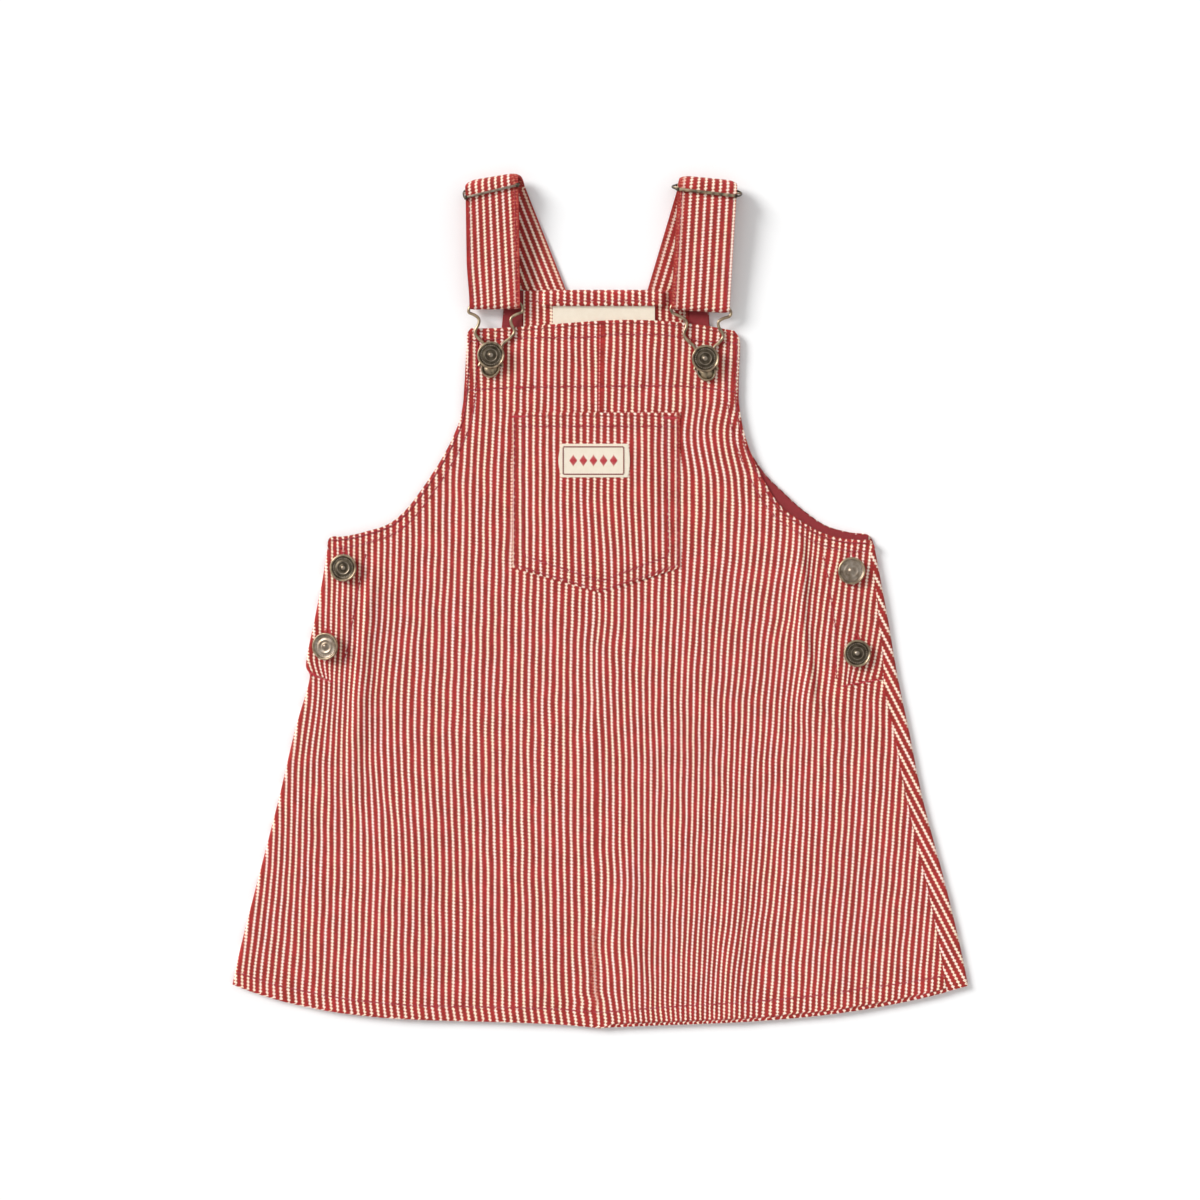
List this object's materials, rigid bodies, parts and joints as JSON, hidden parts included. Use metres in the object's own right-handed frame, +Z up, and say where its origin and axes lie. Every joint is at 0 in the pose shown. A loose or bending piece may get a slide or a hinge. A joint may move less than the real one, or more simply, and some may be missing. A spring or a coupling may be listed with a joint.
{
  "type": "toddler's pinafore dress",
  "caption": "Toddler's A-line pinafore dress in striped twill, laid flat, with a bib pocket, folded straps on wire sliders and hooks, and button sides.",
  "frame": {"origin": "centre of the dress in plan, on the surface it lies on", "axes": "+Z up, out of the front; +Y from the hem to the straps; +X to the right of someone looking at the front"},
  "size_m": [0.4041, 0.4693, 0.0138],
  "materials": {
    "striped_twill": "red and cream striped cotton twill, matt",
    "plain_red_cotton": "plain dark red cotton facing, matt",
    "cream_label": "cream woven cotton tape, matt",
    "antique_brass": "antique brass, dark in the hollows and rubbed bright on the edges"
  },
  "bodies": {
    "root": {"back_panel": "striped_twill", "back_facing": "striped_twill", "armhole_facing_left": "plain_red_cotton", "armhole_facing_right": "plain_red_cotton", "neck_label": "cream_label", "front_left": "striped_twill", "front_right": "striped_twill", "chest_pocket": "striped_twill", "pocket_label": "cream_label", "strap_left": "striped_twill", "strap_right": "striped_twill", "slider_left": "antique_brass", "slider_right": "antique_brass", "hook_left": "antique_brass", "hook_right": "antique_brass", "bib_button_left": "antique_brass", "bib_button_right": "antique_brass", "side_button_left_upper": "antique_brass", "side_button_left_lower": "antique_brass", "side_button_right_upper": "antique_brass", "side_button_right_lower": "antique_brass"}
  },
  "joints": []
}
